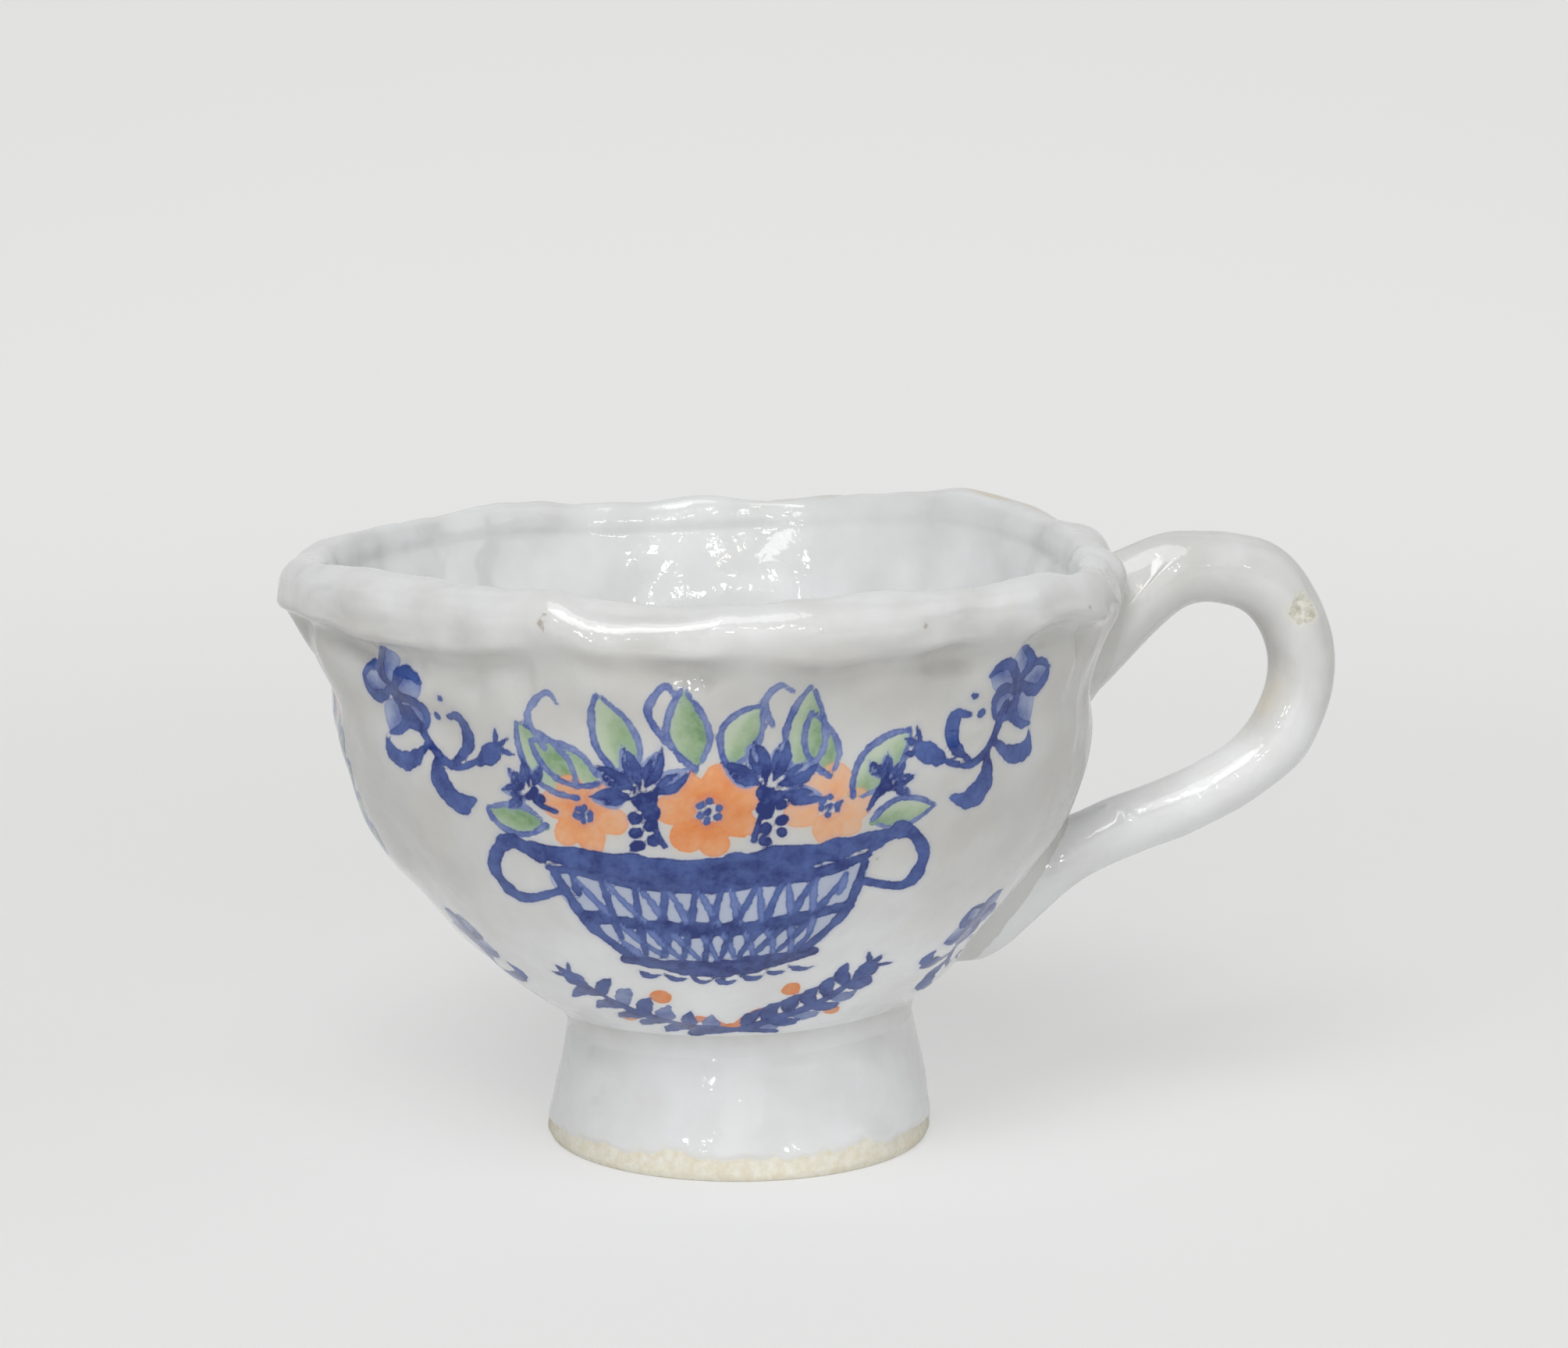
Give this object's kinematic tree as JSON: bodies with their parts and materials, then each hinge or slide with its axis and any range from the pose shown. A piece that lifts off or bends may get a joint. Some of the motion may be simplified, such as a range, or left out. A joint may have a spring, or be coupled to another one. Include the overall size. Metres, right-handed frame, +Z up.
{
  "type": "teacup",
  "caption": "Hand-built footed teacup of tin-glazed earthenware with a rolled rim, an ear handle and painted flowers on a white ground.",
  "frame": {"origin": "on the table, below the middle of the whole cup's box", "axes": "+X from the bowl towards the handle, +Y away from the painted front, +Z up"},
  "size_m": [0.136, 0.1018, 0.0791],
  "materials": {
    "painted_glaze": "glossy tin glaze with cobalt blue, orange and green brush painting",
    "white_glaze": "glossy tin glaze, bare beige clay along the foot's edge"
  },
  "bodies": {
    "root": {"bowl": "painted_glaze", "rim_coil": "white_glaze", "foot_ring": "white_glaze", "foot_joint": "white_glaze", "handle": "white_glaze", "handle_upper_joint": "white_glaze", "handle_lower_joint": "white_glaze"}
  },
  "joints": []
}
